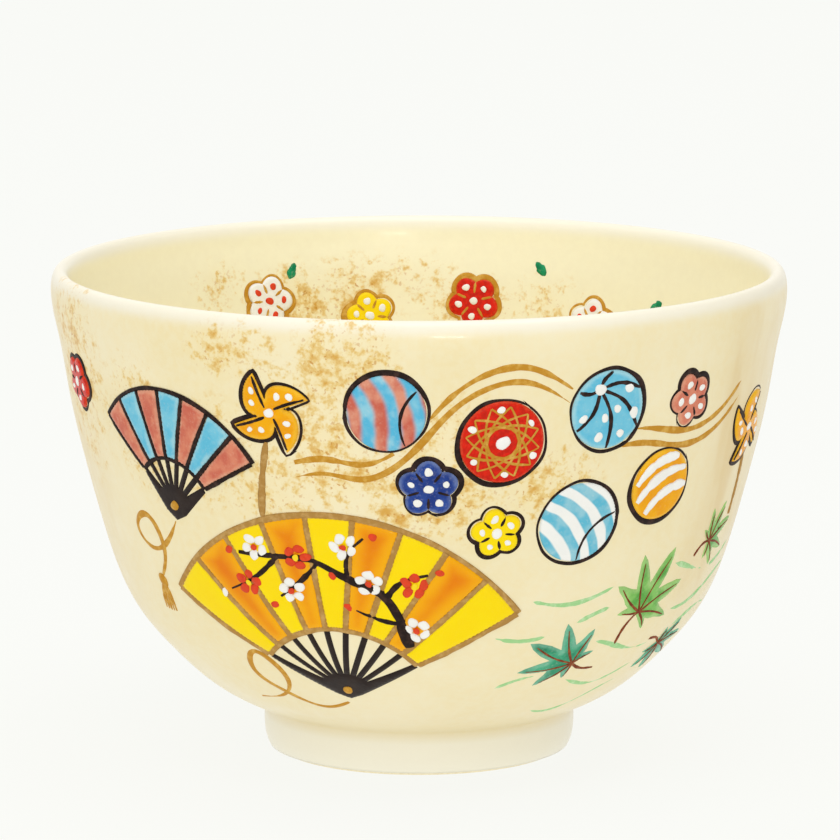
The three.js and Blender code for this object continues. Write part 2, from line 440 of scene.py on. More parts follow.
def new_tree(name, **inputs):
    """A geometry tree with a Geometry input and output and the named inputs."""
    tree = bpy.data.node_groups.new(name, "GeometryNodeTree")
    tree.interface.new_socket("Geometry", in_out="INPUT", socket_type="NodeSocketGeometry")
    for label, kind in inputs.items():
        tree.interface.new_socket(label, in_out="INPUT", socket_type="NodeSocket" + kind)
    tree.interface.new_socket("Geometry", in_out="OUTPUT", socket_type="NodeSocketGeometry")
    return tree, tree.nodes.new("NodeGroupInput").outputs


def close_tree(tree, geometry, paint):
    """Ends a tree with real geometry of one material."""
    real = add(tree, "GeometryNodeRealizeInstances", {"Geometry": geometry}).outputs[0]
    painted = add(tree, "GeometryNodeSetMaterial", {"Geometry": real, "Material": paint}).outputs[0]
    add(tree, "NodeGroupOutput", {0: painted})
    return tree


def lay_on_wall_tree():
    """Bends a flat drawing on to the bowl: X goes round it, Y up its wall and Z off its face."""
    tree, given = new_tree("lay_on_wall", Wall="Object", Side="Float")
    flat = parts(tree, position(tree))
    guide = add(tree, "GeometryNodeObjectInfo", {"Object": given["Wall"]}).outputs["Geometry"]
    curve = add(tree, "GeometryNodeMeshToCurve", {"Mesh": guide}).outputs[0]
    inputs = {"Curves": curve, "Length": flat["Y"]}
    sampled = add(tree, "GeometryNodeSampleCurve", inputs, mode="LENGTH").outputs
    wall = parts(tree, sampled["Position"])
    slope = parts(tree, sampled["Tangent"])
    lift = times(tree, flat["Z"], given["Side"])
    across = calc(tree, "DIVIDE", times(tree, flat["X"], given["Side"]), wall["X"])
    turn = calc(tree, "ADD", named(tree, "turn"), across)
    radius = calc(tree, "MULTIPLY_ADD", slope["Z"], lift, wall["X"])
    height = calc(tree, "SUBTRACT", wall["Z"], times(tree, slope["X"], lift))
    bent = placed(tree, given["Geometry"], round_axis(tree, radius, turn, height))
    add(tree, "NodeGroupOutput", {0: bent})
    return tree


LAY_ON_WALL = lay_on_wall_tree()


def laid(tree, geometry, given):
    """The geometry bent on to the wall that the tree is given."""
    inputs = {"Geometry": geometry, "Wall": given["Wall"], "Side": given["Side"]}
    return add(tree, "GeometryNodeGroup", inputs, node_tree=LAY_ON_WALL).outputs[0]


def turned_form_tree():
    """Turns an outline of radius and height about the bowl's axis."""
    tree, given = new_tree("turned_form", Segments="Int", Finish="Material")
    size = add(tree, "GeometryNodeAttributeDomainSize", {0: given["Geometry"]}).outputs["Point Count"]
    columns = calc(tree, "ADD", given["Segments"], 1)
    grid = add(tree, "GeometryNodeMeshGrid", {"Vertices X": columns, "Vertices Y": size}).outputs["Mesh"]
    index = add(tree, "GeometryNodeInputIndex").outputs[0]
    row = calc(tree, "FLOORED_MODULO", index, size)
    column = calc(tree, "FLOOR", calc(tree, "DIVIDE", index, size))
    taken = {"Geometry": given["Geometry"], "Value": position(tree), "Index": row}
    outline = add(tree, "GeometryNodeSampleIndex", taken, data_type="FLOAT_VECTOR").outputs[0]
    cut = parts(tree, outline)
    turn = calc(tree, "DIVIDE", times(tree, column, math.tau), given["Segments"])
    form = placed(tree, grid, round_axis(tree, cut["X"], turn, cut["Z"]))
    inputs = {"Geometry": form, "Distance": SAME_PLACE}
    welded = add(tree, "GeometryNodeMergeByDistance", inputs).outputs[0]
    return close_tree(tree, welded, given["Finish"])


def enamel_pad_tree():
    """Swells a flat sheet into a pad of enamel with a beaded edge and lays it on the wall."""
    tree, given = new_tree("enamel_pad", Wall="Object", Side="Float", Thickness="Float", Bead="Float",
                           Seat="Float", Enamel="Material")
    flat = parts(tree, position(tree))
    share = calc(tree, "MINIMUM", calc(tree, "DIVIDE", named(tree, "inset"), given["Bead"]), 1.0)
    short = calc(tree, "SUBTRACT", 1.0, share)
    swell = calc(tree, "SQRT", calc(tree, "SUBTRACT", 1.0, times(tree, short, short)))
    sunk = times(tree, named(tree, "under"), given["Seat"])
    lift = calc(tree, "SUBTRACT", times(tree, swell, given["Thickness"]), sunk)
    swollen = placed(tree, given["Geometry"], joined(tree, flat["X"], flat["Y"], lift))
    return close_tree(tree, laid(tree, swollen, given), given["Enamel"])


def brush_stroke_tree():
    """Turns drawn lines into low ridges of paint as wide as their points say, and lays them on the wall."""
    tree, given = new_tree("brush_stroke", Wall="Object", Side="Float", Sides="Int", Flatness="Float",
                           Paint="Material")
    line = add(tree, "GeometryNodeMeshToCurve", {"Mesh": given["Geometry"]}).outputs[0]
    level = add(tree, "GeometryNodeSetCurveNormal", {"Curve": line}, mode="Z_UP").outputs[0]
    ring = add(tree, "GeometryNodeCurvePrimitiveCircle", {"Resolution": given["Sides"], "Radius": 0.5})
    press = joined(tree, 1.0, given["Flatness"], 1.0)
    inputs = {"Geometry": ring.outputs["Curve"], "Scale": press}
    section = add(tree, "GeometryNodeTransform", inputs).outputs[0]
    inputs = {"Curve": level, "Profile Curve": section, "Scale": named(tree, "width"), "Fill Caps": True}
    swept = add(tree, "GeometryNodeCurveToMesh", inputs).outputs[0]
    return close_tree(tree, laid(tree, swept, given), given["Paint"])


def raised_dot_tree():
    """Sets a low uneven dome of enamel on each point, as wide as the point says, and lays it on the wall."""
    tree, given = new_tree("raised_dot", Wall="Object", Side="Float", Flatness="Float", Paint="Material")
    inputs = {"Segments": DOT_SEGMENTS, "Rings": DOT_RINGS, "Radius": 0.5}
    dome = add(tree, "GeometryNodeMeshUVSphere", inputs).outputs["Mesh"]
    stretch = random_between(tree, *DOT_STRETCH, 3)
    spin = joined(tree, 0.0, 0.0, random_between(tree, 0.0, math.tau, 4))
    rotation = add(tree, "FunctionNodeEulerToRotation", {0: spin}).outputs[0]
    width = named(tree, "width")
    size = joined(tree, times(tree, width, stretch), calc(tree, "DIVIDE", width, stretch),
                  times(tree, width, given["Flatness"]))
    inputs = {"Points": given["Geometry"], "Instance": dome, "Scale": size, "Rotation": rotation}
    dots = add(tree, "GeometryNodeInstanceOnPoints", inputs).outputs[0]
    real = add(tree, "GeometryNodeRealizeInstances", {"Geometry": dots}).outputs[0]
    stray = add(tree, "ShaderNodeTexNoise", {"Scale": 1 / DOT_STRAY_SIZE, "Detail": 0.0}).outputs["Color"]
    level = add(tree, "ShaderNodeVectorMath", {0: stray, 1: (0.5, 0.5, 0.5)}, operation="SUBTRACT").outputs[0]
    inputs = {0: level, 1: (2 * DOT_STRAY, 2 * DOT_STRAY, 0.0)}
    moved = add(tree, "ShaderNodeVectorMath", inputs, operation="MULTIPLY").outputs[0]
    uneven = add(tree, "GeometryNodeSetPosition", {"Geometry": real, "Offset": moved}).outputs[0]
    return close_tree(tree, laid(tree, uneven, given), given["Paint"])


TURNED_FORM = turned_form_tree()
ENAMEL_PAD = enamel_pad_tree()
BRUSH_STROKE = brush_stroke_tree()
RAISED_DOT = raised_dot_tree()


def made(name, mesh, tree, **values):
    """Runs a tree on a mesh and returns the result as a piece with a plain mesh."""
    piece = bpy.data.objects.new(name, mesh)
    scene.collection.objects.link(piece)
    maker = piece.modifiers.new("maker", "NODES")
    maker.node_group = tree
    sockets = {item.name: item.identifier for item in tree.interface.items_tree if item.in_out == "INPUT"}
    for label, value in values.items():
        maker[sockets[label]] = value
    evaluated = piece.evaluated_get(bpy.context.evaluated_depsgraph_get())
    plain = bpy.data.meshes.new_from_object(evaluated)
    piece.modifiers.remove(maker)
    piece.data = plain
    plain.shade_smooth()
    return piece


def settle(piece, slot, *nodes):
    """The piece goes with the bowl and stands for the nodes, which it hides. The slot it is given is not
    used.
    """
    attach(piece, "root")
    if nodes:
        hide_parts(*nodes)
    return piece


def store(mesh, name, values):
    """Stores a number for each of the mesh's points under a name."""
    attribute = mesh.attributes.new(name, "FLOAT", "POINT")
    attribute.data.foreach_set("value", np.asarray(values, np.float32))


# Materials

def tone(code):
    """A colour as given, such as "f3e6c4", as the shader counts it."""
    shares = [int(code[i:i + 2], 16) / 255 for i in (0, 2, 4)]
    return (*(c / 12.92 if c <= 0.04045 else ((c + 0.055) / 1.055) ** 2.4 for c in shares), 1.0)


def new_material(name):
    """A material with its nodes cleared, and its tree, shader and millimetre coordinates."""
    material = bpy.data.materials.new(name)
    material.use_nodes = True
    tree = material.node_tree
    tree.nodes.clear()
    shader = tree.nodes.new("ShaderNodeBsdfPrincipled")
    add(tree, "ShaderNodeOutputMaterial", {"Surface": shader.outputs[0]})
    place = add(tree, "ShaderNodeTexCoord").outputs["Object"]
    scaled = add(tree, "ShaderNodeVectorMath", {0: place, "Scale": 1 / MM}, operation="SCALE").outputs[0]
    return material, tree, shader, scaled


def noise(tree, place, size, detail=2.0, roughness=0.5):
    """Cloudy noise whose patches are about size millimetres across."""
    inputs = {"Vector": place, "Scale": 1 / size, "Detail": detail, "Roughness": roughness}
    return add(tree, "ShaderNodeTexNoise", inputs).outputs["Fac"]


def stretched(tree, place, scale):
    """Coordinates scaled along each axis. A small scale draws a pattern out."""
    return add(tree, "ShaderNodeMapping", {"Vector": place, "Scale": scale}).outputs[0]


def ramp(tree, value, low, high, start=0.0, end=1.0):
    """Goes smoothly from start to end as the value goes from low to high."""
    inputs = {0: value, 1: low, 2: high, 3: start, 4: end}
    return add(tree, "ShaderNodeMapRange", inputs, interpolation_type="SMOOTHSTEP").outputs[0]


def mixed(tree, share, one, other):
    """One colour blended with another by a share."""
    return add(tree, "ShaderNodeMix", {0: share, 6: one, 7: other}, data_type="RGBA").outputs[2]


def layered(tree, body, *layers):
    """A colour with tones laid over it one after another, each by its share."""
    for share, code in layers:
        body = mixed(tree, share, body, tone(code))
    return body


def read(tree, name):
    """A number stored on the piece under a name."""
    return add(tree, "ShaderNodeAttribute", attribute_name=name).outputs["Fac"]


def bump(tree, height, depth):
    """A normal whose relief is depth millimetres where the height goes from 0 to 1."""
    return add(tree, "ShaderNodeBump", {"Height": height, "Distance": depth * MM, "Strength": 1.0}).outputs[0]


def glaze_material():
    """Cream glaze: mottled and slightly uneven, with sponged ochre clouds, broad faint tan runs and painted
    light and shade.
    """
    material, tree, shader, place = new_material("cream_glaze")
    broad = ramp(tree, noise(tree, place, 24, 3), 0.32, 0.68)
    fine = ramp(tree, noise(tree, place, 1.3, 3, 0.6), 0.3, 0.7)
    streaks = ramp(tree, noise(tree, stretched(tree, place, (1, 1, 0.14)), 5.5), 0.42, 0.66, 0.55, 1.0)
    body = layered(tree, mixed(tree, broad, tone("f8eac0"), tone("f4e3b0")),
                   # painted light: paler on the foot, as if lit from the floor, and high inside the bowl
                   (times(tree, read(tree, "pale"), 0.9), "fffadb"),
                   (times(tree, fine, 0.3), "f8f0d0"),
                   # tan runs: partly streaks in the glaze, partly painted shade on the bowl's left and right
                   # sides
                   (times(tree, streaks, read(tree, "runs")), "e3c582"),
                   # glaze pooled at the foot's joint and in the well, with painted shade under the hip and in
                   # the well
                   (read(tree, "pooled"), "dccaa2"),
                   # thin glaze on the lip and foot, with a painted highlight along the lip and painted light
                   # on the foot
                   (read(tree, "thin"), "f9f5e8"))
    throwing_rings = noise(tree, stretched(tree, place, (0.04, 0.04, 1)), 5)
    relief = calc(tree, "MULTIPLY_ADD", noise(tree, place, 0.9), 0.16, throwing_rings)
    plug(tree, shader, {
        "Base Color": sponged(tree, place, body),
        "Roughness": ramp(tree, noise(tree, place, 3, 3), 0.2, 0.8, 0.3, 0.4),
        "Normal": bump(tree, relief, 0.09),
        "Coat Weight": 0.2, "Coat Roughness": 0.08})
    return material


def sponged(tree, place, body):
    """Golden ochre dabbed on with a sponge: a pale haze, soft daubs, deeper hearts and a few flecks."""
    cover = read(tree, "sponged")
    clumps = ramp(tree, noise(tree, place, 6), 0.36, 0.6, 0.4, 1.0)
    drive = times(tree, clumps, ramp(tree, cover, 0.03, 0.55))
    daubs = noise(tree, place, 2.0, 3, 0.58)
    texture = calc(tree, "MULTIPLY_ADD", calc(tree, "SUBTRACT", noise(tree, place, 0.6), daubs), 0.26, daubs)
    over = calc(tree, "MULTIPLY_ADD", drive, 0.14, calc(tree, "SUBTRACT", texture, 0.57))
    edge = ramp(tree, cover, 0.02, 0.2)
    flecks = ramp(tree, noise(tree, place, 0.7, 1), 0.62, 0.72, 0.0, 0.85)
    return layered(tree, body,
                   (times(tree, drive, 0.5), "f7e2a6"),
                   (times(tree, ramp(tree, over, -0.04, 0.1, 0.0, 0.7), edge), "ebc86e"),
                   (times(tree, ramp(tree, over, 0.03, 0.23, 0.0, 0.9), edge), "d9a02c"),
                   (times(tree, flecks, drive), "cc8c22"))


def clay_material():
    """Bare fired clay with a fine sandy tooth."""
    material, tree, shader, place = new_material("bare_clay")
    sand = noise(tree, place, 0.5, 4, 0.7)
    plug(tree, shader, {
        "Base Color": mixed(tree, ramp(tree, sand, 0.35, 0.7), tone("faefcd"), tone("eedeb6")),
        "Normal": bump(tree, sand, 0.06), "Roughness": 0.85})
    return material


def enamel_material(name, body, shade, spread=0.6, patch=3.2, rim=None, rim_wander=0.4, stripes=None,
                    roughness=0.26, specks=0.1):
    """Thick overglaze enamel, brushed unevenly in patches of two tones, with pale specks.

    rim is the tone that shows through near the edge, its width in millimetres and its strength.
    """
    material, tree, shader, place = new_material(name)
    uneven = ramp(tree, noise(tree, place, patch, 3, 0.55), 0.34, 0.66)
    colour = mixed(tree, times(tree, uneven, spread), tone(body), tone(shade))
    if stripes:
        colour = striped(tree, place, colour, **stripes)
    if rim:
        code, width, strength = rim
        stray = ramp(tree, noise(tree, place, patch * 0.8), 0.2, 0.8, -rim_wander, rim_wander)
        inset = calc(tree, "ADD", calc(tree, "DIVIDE", read(tree, "inset"), width * MM), stray)
        colour = mixed(tree, ramp(tree, inset, 0.0, 1.0, strength, 0.0), colour, tone(code))
    speck = ramp(tree, noise(tree, place, 0.5, 3, 0.6), 0.52, 0.72)
    plug(tree, shader, {
        "Base Color": mixed(tree, times(tree, speck, specks), colour, tone("fff2d8")),
        "Normal": bump(tree, noise(tree, place, 1.1), 0.07),
        "Roughness": roughness, "Specular IOR Level": 0.08, "Coat Weight": 0.12, "Coat Roughness": 0.06})
    return material


def striped(tree, place, colour, other, width, lean, bow, blend, pale):
    """Bowed stripes of another tone, width millimetres each, that fade paler in places and blend at edges."""
    drawing = add(tree, "ShaderNodeAttribute", attribute_name="drawing").outputs["Vector"]
    inputs = {"Vector": drawing, "Rotation": (0, 0, math.radians(lean))}
    flat = parts(tree, add(tree, "ShaderNodeMapping", inputs).outputs[0])
    across = calc(tree, "MULTIPLY_ADD", times(tree, flat["Y"], flat["Y"]), bow, flat["X"])
    stray = ramp(tree, noise(tree, place, 5, 1), 0.2, 0.8, -0.5, 0.5)
    phase = calc(tree, "ADD", times(tree, across, math.pi / width), stray)
    share = ramp(tree, calc(tree, "SINE", phase), -blend, blend)
    faded = ramp(tree, noise(tree, place, 2.8), 0.4, 0.7, 0.0, 0.7)
    return mixed(tree, share, colour, mixed(tree, faded, tone(other), tone(pale)))


def line_material(name, body, shade):
    """Brushed line paint that goes thin in places."""
    material, tree, shader, place = new_material(name)
    thin = ramp(tree, noise(tree, place, 1.3, 3, 0.6), 0.42, 0.72)
    plug(tree, shader, {
        "Base Color": mixed(tree, thin, tone(body), tone(shade)),
        "Normal": bump(tree, noise(tree, place, 0.4), 0.04),
        "Roughness": 0.45, "Specular IOR Level": 0.08})
    return material


GLAZE = glaze_material()
CLAY = clay_material()
ENAMELS = {
    "yellow": dict(body="ffe100", shade="ffd800", spread=0.5, patch=6, rim=("f6d23c", 0.5, 0.4), specks=0.01),
    "orange": dict(body="ea7a00", shade="f09000", patch=8, rim=("fab408", 3.0, 0.9), rim_wander=0.2,
                   specks=0.01),
    "amber": dict(body="f8b000", shade="ee9806", spread=0.7, patch=3, rim=("fac434", 0.9, 0.7), specks=0.04),
    "red": dict(body="e22208", shade="b81a06", spread=0.7, patch=0.8, rim=("ea5c34", 0.5, 0.5), specks=0.01),
    "sky": dict(body="62bedc", shade="80cce2", spread=0.8, patch=3, rim=("b8dfe2", 0.9, 0.6)),
    "salmon": dict(body="de886a", shade="ca6450", spread=0.9, patch=2.6, rim=("ecb898", 0.8, 0.5)),
    "navy": dict(body="1e3882", shade="2e4f9e", spread=0.9, patch=2.4, rim=("8496c4", 0.8, 0.6)),
    "white": dict(body="f9f8f3", shade="f0ede4", spread=0.5),
    "green": dict(body="88c662", shade="54a440", spread=1.0, patch=3.6, rim=("b8dc8e", 1.2, 0.6)),
    "teal": dict(body="3ba67c", shade="1a7e5a", spread=1.0, rim=("90ceb0", 1.2, 0.6)),
    "emerald": dict(body="1f9a66", shade="0f7f52", spread=1.0, patch=1.6),
    "black": dict(body="241a18", shade="33261f", roughness=0.36, specks=0.0),
    "salmon_sky": dict(body="cc6450", shade="e29a7e", spread=0.9, patch=3, stripes=dict(
        other="58b8dc", width=2.0, lean=-12, bow=0.035, blend=0.75, pale="a4d8e4")),
    "sky_white": dict(body="f8f7f2", shade="eef0ec", spread=0.4, patch=3, stripes=dict(
        other="62bcd6", width=1.8, lean=-38, bow=0.04, blend=0.3, pale="a8d6e0")),
}
PAINTS = {paint: enamel_material(paint + "_enamel", **look) for paint, look in ENAMELS.items()}
PAINTS |= {
    "outline": line_material("black_line", "261b18", "43302a"),
    "gold": line_material("gold_line", "c68d2c", "dcae54"),
    "seam": line_material("taupe_gold_line", "b28645", "c9a263"),
    "vein": line_material("vein_line", "7a3418", "a05a30"),
    "stream": line_material("stream_line", "a4d692", "cce8b8"),
}
SLOTS = {
    "amber": "orange_enamel", "emerald": "teal_enamel", "salmon_sky": "salmon_enamel",
    "sky_white": "white_enamel", "outline": "black_enamel", "vein": "black_enamel", "stream": "green_enamel",
    "gold": "gold_line", "seam": "gold_line",
}


def slot_of(paint):
    """The record's slot that a paint takes its finish from."""
    return SLOTS.get(paint, paint + "_enamel")


# The thrown form, glazed

def turned(name, outline, finish):
    """A closed piece turned from an outline that starts and ends on the axis or closes on itself."""
    piece = made(name, outline_mesh(name, outline), TURNED_FORM, Segments=ROUND_SEGMENTS, Finish=finish)
    shell = bmesh.new()
    shell.from_mesh(piece.data)
    bmesh.ops.remove_doubles(shell, verts=shell.verts, dist=SAME_PLACE)
    bmesh.ops.recalc_face_normals(shell, faces=shell.faces)
    shell.to_mesh(piece.data)
    shell.free()
    return piece


def closed_cut(node, softness):
    """A turned node's outline with its corners softened, closed on itself or ending on the axis."""
    cut = front_cut(node)
    if cut[0, 0] > SAME_PLACE:
        cut = np.vstack([cut, cut[:1]])
    return thinned(softened(resampled(cut, softness), softness, softness))


outer_face, outer_back = coat_sides("outer_glaze")
inner_face, inner_back = coat_sides("inner_glaze")
shown = smooth_outline(np.vstack([inner_face, outer_face[-2::-1]]), RING_SPACING, CORNER_SOFTNESS)
against_clay = smooth_outline(
    np.vstack([outer_back, inner_back[-2::-1]]), HIDDEN_RING_SPACING, HIDDEN_RING_SPACING / 3)
crest = int(np.argmax(shown[:, 1]))
OUTSIDE = Wall("outer", shown[crest:][::-1], 1)
INSIDE = Wall("inner", shown[:crest + 1], -1)

coat = turned("glaze_coat", np.vstack([shown, against_clay]), GLAZE)
settle(coat, "cream_glaze", "outer_glaze", "inner_glaze")
foot_ring = turned("foot_ring", closed_cut("foot_ring_clay", EDGE_SOFTNESS), CLAY)
settle(foot_ring, "clay", "foot_ring_clay")
recess_coat = turned("recess_coat", closed_cut("foot_recess_glaze", CORNER_SOFTNESS / 2), GLAZE)
settle(recess_coat, "cream_glaze", "foot_recess_glaze")
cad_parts["bowl_wall_clay"].data.materials[0] = CLAY

# Where the glaze is sponged or streaked: degrees round, height, half width and half height in mm, strength
OUTER_CLOUDS = [
    (-70, 66, 8, 13, 0.62), (-51, 60, 6, 9, 0.45), (-29.5, 74, 7, 4, 0.46), (-11, 72, 6, 6.5, 1.0),
    (-17, 66, 6, 5, 0.95), (-34, 57, 8, 7, 0.5), (-25, 52.5, 7, 6, 0.5), (-13, 57, 7, 6, 0.6),
    (6, 56, 7, 8, 0.9), (1, 50.5, 9, 5, 0.8), (22, 53, 6, 5, 0.6), (171, 62, 15, 9, 0.8),
    (192, 49, 10, 8, 0.7)]
INNER_CLOUDS = [
    (203, 66, 9, 5, 0.46), (192, 67, 7, 5, 0.46), (171, 64.5, 7, 4.5, 0.42), (181, 69, 8, 4, 0.3),
    (217, 69, 6, 4, 0.3), (157, 66, 7, 4, 0.26)]
# Tan runs, partly streaks in the glaze and partly painted shade: those near 80 and -82 degrees darken the
# bowl's sides
STREAKS_AND_SIDE_SHADE = [(62, 56, 6, 26, 0.8), (80, 52, 13, 34, 0.6), (-82, 52, 13, 34, 0.55), (118, 50, 8, 24, 0.4)]


def patches(points, clouds):
    """How strongly a list of soft oval patches covers each point."""
    turn, radius = turn_and_radius(points)
    cover = np.zeros(len(points))
    for degrees, height, half_width, half_height, strength in clouds:
        across = half_turn(turn - math.radians(degrees)) * radius / (half_width * MM)
        up = (points[:, 2] - height * MM) / (half_height * MM)
        cover = np.maximum(cover, strength * np.exp(-0.7 * (across ** 2 + up ** 2) ** 1.3))
    return cover


def paint_glaze(piece):
    """Marks where the glaze is sponged, streaked, pooled and thin, and where light and shade are painted into
    it: lighter on the foot, high inside and along the lip, darker at the sides, under the hip and in the
    well.
    """
    points = points_of(piece.data)
    radius = turn_and_radius(points)[1]
    height = points[:, 2]
    outside = radius > np.interp(height, OUTSIDE.outline[:, 1], OUTSIDE.outline[:, 0]) - WALL_HALF
    # The foot is painted paler, as if lit from the floor
    foot = np.interp(height, (FOOT_SHOULDER - MARK_SPREAD, FOOT_SHOULDER), (1, 0))
    # The inside is painted lighter towards the lip
    inside_light = np.interp(height, INSIDE_LIGHT_HEIGHTS, (0.1, 1))
    above_foot = (height - FOOT_SHOULDER) / MARK_SPREAD
    # Glaze pooled at the foot's joint, and painted shade that darkens the hip towards the foot
    hip_pool_and_shade = 0.1 * np.exp(-above_foot ** 2) + 0.3 * np.exp(-np.clip(above_foot, 0, None) / 5)
    in_well = (WELL_RADIUS - radius) / MARK_SPREAD
    # Glaze pooled in the well, with painted shade there
    well_pool_and_shade = 0.3 * np.exp(-np.clip(in_well - 1, 0, None) / 3) * np.clip(in_well, 0, 1)
    # Thin glaze at the lip, with a painted highlight along it
    lip = 0.75 * np.exp(-((height.max() - height) / LIP_FADE) ** 4)
    marks = {
        "sponged": (patches(points, OUTER_CLOUDS), patches(points, INNER_CLOUDS)),
        # runs also holds painted shade at the sides, and pale is painted light
        "runs": (patches(points, STREAKS_AND_SIDE_SHADE), 0), "pale": (foot, inside_light), "pooled": (hip_pool_and_shade, well_pool_and_shade),
        # thin also holds a painted highlight on the lip and painted light on the foot
        "thin": (np.maximum(lip, 0.55 * foot), lip)}
    for name, (outer, inner) in marks.items():
        store(piece.data, name, np.where(outside, outer, inner))


paint_glaze(coat)


# Flat drawings

def inner_points(outline):
    """Points inside an outline, in rings near its edge and on a grid further in."""
    kept = []
    for inset in INSET_RINGS:
        ring = outline - outward(outline) * inset
        clear = distance_inside(ring, outline) > CLEAR_SHARE * inset
        kept.append(ring[clear & is_inside(ring, outline)][::2])
    low, high = outline.min(0), outline.max(0)
    rows = np.arange(low[1], high[1], PAD_GRID * math.sqrt(0.75))
    grid = np.array([(x + (i % 2) * PAD_GRID / 2, y)
                     for i, y in enumerate(rows) for x in np.arange(low[0], high[0], PAD_GRID)])
    grid = grid[is_inside(grid, outline)]
    kept.append(grid[distance_inside(grid, outline) > INSET_RINGS[-1] + PAD_GRID / 3])
    return np.vstack(kept)


def triangles(points, count):
    """Triangles that fill an outline of the first count points, through all the points."""
    flat = [Vector(p / MM) for p in points]
    corners, _, faces = delaunay_2d_cdt(flat, [], [list(range(count))], FILL_INSIDE, FILL_TOLERANCE)[:3]
    if len(corners) != len(points):
        raise ValueError("an outline crosses itself")
    return [tuple(face) for face in faces]


def lift_on(outline, points, thickness=PAD_THICKNESS):
    """How high the face of a pad with this outline lies under each point."""
    share = np.minimum(distance_inside(points, divided(outline, OUTLINE_STEP)) / PAD_BEAD, 1)
    return thickness * np.sqrt(1 - (1 - share) ** 2) * is_inside(points, outline)


class Brush:
    """The strokes or dots of one paint on one wall, kept until they are laid together."""

    FORMS = {"strokes": (BRUSH_STROKE, {"Sides": STROKE_SIDES, "Flatness": STROKE_FLATNESS}),
             "dots": (RAISED_DOT, {"Flatness": DOT_FLATNESS})}

    def __init__(self, wall, kind, paint):
        self.wall = wall
        self.kind = kind
        self.paint = paint
        self.points = []
        self.links = []
        self.widths = []
        self.turns = []

    def keep(self, spot, line, widths):
        """Keeps a stroke drawn from a spot, or one point for a dot. The line's Z is its lift."""
        first = len(self.points)
        self.points += [(x, y + spot.along, z) for x, y, z in line]
        self.links += [(first + i, first + i + 1) for i in range(len(line) - 1)]
        self.widths += list(widths)
        self.turns += [spot.turn] * len(line)

    def lay(self):
        """Makes one piece of all that was kept."""
        if not self.points:
            return
        name = f"{self.wall.name}_{self.paint}_{self.kind}"
        mesh = bpy.data.meshes.new(name)
        mesh.from_pydata(self.points, self.links, [])
        store(mesh, "width", self.widths)
        store(mesh, "turn", self.turns)
        tree, form = self.FORMS[self.kind]
        piece = made(name, mesh, tree, Wall=self.wall.guide, Side=float(self.wall.side),
                     Paint=PAINTS[self.paint], **form)
        settle(piece, slot_of(self.paint))


PAINTS_OF = {"strokes": ("outline", "gold", "seam", "vein", "stream", "white", "emerald"),
             "dots": ("white", "gold", "red", "yellow")}
BRUSHES = {(wall, kind, paint): Brush(wall, kind, paint)
           for wall in (OUTSIDE, INSIDE) for kind, paints in PAINTS_OF.items() for paint in paints}
PAINTED = []


class Spot:
    """A place on a wall: a turn round the bowl and a distance along the wall. Drawings have it at (0, 0)."""

    def __init__(self, wall, turn, along):
        self.wall = wall
        self.turn = turn
        self.along = along

    def pad(self, node, outline, paint, thickness=PAD_THICKNESS):
        """A pad of enamel with a flat outline, in a CAD node's place."""
        edge = divided(outline, OUTLINE_STEP)
        count = len(edge)
        top = np.vstack([edge, inner_points(edge)])
        base = len(top)
        faces = triangles(top, count)
        faces += [tuple(base + i for i in face[::-1]) for face in triangles(edge, count)]
        faces += [(base + i, base + (i + 1) % count, (i + 1) % count, i) for i in range(count)]
        flat = np.vstack([top, edge])
        rim = np.zeros(count)
        name = "enamel_" + node
        mesh = bpy.data.meshes.new(name)
        mesh.from_pydata([(x, y + self.along, 0) for x, y in flat], [], faces)
        store(mesh, "inset", np.concatenate([rim, distance_inside(top[count:], edge), rim]))
        store(mesh, "under", np.arange(len(flat)) >= base)
        store(mesh, "turn", np.full(len(flat), self.turn))
        drawing = mesh.attributes.new("drawing", "FLOAT_VECTOR", "POINT")
        drawing.data.foreach_set("vector", np.column_stack([flat / MM, np.zeros(len(flat))]).ravel())
        piece = made(name, mesh, ENAMEL_PAD, Wall=self.wall.guide, Side=float(self.wall.side),
                     Thickness=thickness, Bead=PAD_BEAD, Seat=PAD_SEAT, Enamel=PAINTS[paint])
        settle(piece, slot_of(paint), node)

    def stroke(self, paint, points, width, lift=0.0, taper=0.0):
        """A stroke of one width or from one to another. It wavers as a brush's does."""
        lifts = np.broadcast_to(lift, len(points))
        line = resampled(np.column_stack([points, lifts]), STROKE_STEP)
        share = np.linspace(0, 1, len(line))
        widths = np.interp(share, [0, 1], np.broadcast_to(width, 2))
        ends = 1 - taper * np.abs(2 * share - 1) ** 4
        BRUSHES[self.wall, "strokes", paint].keep(self, line, widths * ends * wander(share, *STROKE_WAVER))

    def dot(self, paint, point, width, lift):
        BRUSHES[self.wall, "dots", paint].keep(self, [(*point, lift)], [width])

    def covered(self, points):
        """Which flat points come under or close to a motif."""
        radius = self.wall.radius_at(points[:, 1] + self.along)
        hidden = np.zeros(len(points), bool)
        for motif, outline in PAINTED:
            if motif.wall is self.wall:
                across = points[:, 0] + half_turn(self.turn - motif.turn) * radius * self.wall.side
                local = np.column_stack([across, points[:, 1] + self.along - motif.along])
                hidden |= is_inside(local, outline) | (distance_inside(local, outline) < CLEARANCE)
        return hidden


def spot_at(wall, degrees, height):
    """The spot at a bearing in degrees from the front and a height in millimetres."""
    return Spot(wall, math.radians(degrees), wall.along_at(height * MM))


def wall_line(wall, places, paint, width, taper=0.3, lift=BEHIND):
    """A line behind the motifs, through places given as degrees round the bowl and millimetres of height."""
    spot = spot_at(wall, *np.mean(places, axis=0))
    flat = []
    for degrees, height in places:
        along = wall.along_at(height * MM)
        across = (math.radians(degrees) - spot.turn) * wall.radius_at(along) * wall.side
        flat.append((across, along - spot.along))
    drawn = smooth_run(flat, STROKE_STEP)
    hidden = np.concatenate([[True], spot.covered(drawn), [True]])
    changes = np.flatnonzero(np.diff(hidden.astype(int)))
    for start, end in zip(changes[::2], changes[1::2]):
        if end - start > SHORTEST_STEPS:
            spot.stroke(paint, drawn[start:end], width, lift, taper)


